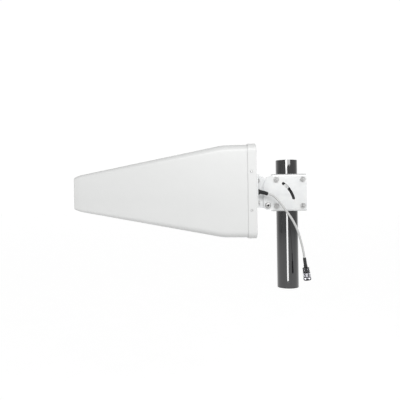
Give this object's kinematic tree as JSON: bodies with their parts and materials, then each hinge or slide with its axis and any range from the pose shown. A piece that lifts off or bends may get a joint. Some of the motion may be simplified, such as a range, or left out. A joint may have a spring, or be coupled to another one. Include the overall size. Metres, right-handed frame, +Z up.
{
  "type": "directional antenna",
  "caption": "Directional log-periodic antenna in a tapered white radome, on a tilting bracket clamped to a mast, with a short coaxial pigtail and screw-on plug.",
  "frame": {"origin": "centre of the mast tube's lower end", "axes": "+Z up along the mast, the radome's nose towards -X, the bracket's face towards -Y"},
  "size_m": [0.5264, 0.1154, 0.331],
  "materials": {
    "radome_plastic": "satin, finely moulded",
    "cap_plastic": "satin",
    "black_rubber": "matt",
    "stainless": "bright",
    "plated_steel": "bright zinc plate",
    "boom_aluminium": "mill",
    "white_insulator": "matt",
    "contact_brass": "plated",
    "gland_nickel": "nickel plate",
    "cable_jacket": "satin jacket",
    "dark_chrome": "dark plated",
    "mast_black": "black semi-gloss"
  },
  "bodies": {
    "mast": {"mast_tube": "mast_black"},
    "mast_bracket": {"mast_bracket": "plated_steel", "upper_u_bolt": "stainless", "lower_u_bolt": "stainless", "u_bolt_nuts": "stainless", "u_bolt_washers": "stainless", "pivot_screw": "stainless", "pivot_washers": "stainless", "pivot_nut": "stainless"},
    "antenna": {"radome_shell": "radome_plastic", "rear_cap": "cap_plastic", "cap_gasket": "black_rubber", "cap_screws": "stainless", "near_boom": "boom_aluminium", "far_boom": "boom_aluminium", "near_boom_elements": "boom_aluminium", "far_boom_elements": "boom_aluminium", "boom_spacers": "white_insulator", "spacer_screws": "stainless", "rear_shorting_block": "boom_aluminium", "backing_plate": "plated_steel", "boom_bracket": "boom_aluminium", "boom_bracket_screws": "stainless", "insulating_end_plug": "white_insulator", "conducting_end_plug": "boom_aluminium", "feed_bridge": "contact_brass", "feed_screw": "stainless", "nose_support": "white_insulator", "feed_coax": "contact_brass", "antenna_arm": "plated_steel", "guide_pin": "stainless", "arm_bolts": "stainless", "arm_bolt_washers": "stainless", "cable_gland": "gland_nickel", "gland_boot": "black_rubber", "pigtail_cable": "cable_jacket", "plug_boot": "black_rubber", "plug_body": "dark_chrome", "plug_insulator": "white_insulator", "plug_contact_pin": "contact_brass", "plug_seal_ring": "black_rubber"},
    "coupling_nut": {"coupling_nut": "dark_chrome"}
  },
  "joints": [
    {"name": "azimuth_swivel", "type": "hinge", "parent": "mast", "child": "mast_bracket", "pos_m": [0, 0, 0.222], "axis": [0, 0, 1], "continuous": true},
    {"name": "elevation_tilt", "type": "hinge", "parent": "mast_bracket", "child": "antenna", "pos_m": [-0.05, -0.033, 0.193], "axis": [0, 1, 0], "range_deg": [-9, 20]},
    {"name": "coupling_nut_spin", "type": "hinge", "parent": "antenna", "child": "coupling_nut", "pos_m": [0.03247, -0.0525, 0.03332], "axis": [0.1231, 0, -0.9924], "continuous": true}
  ]
}
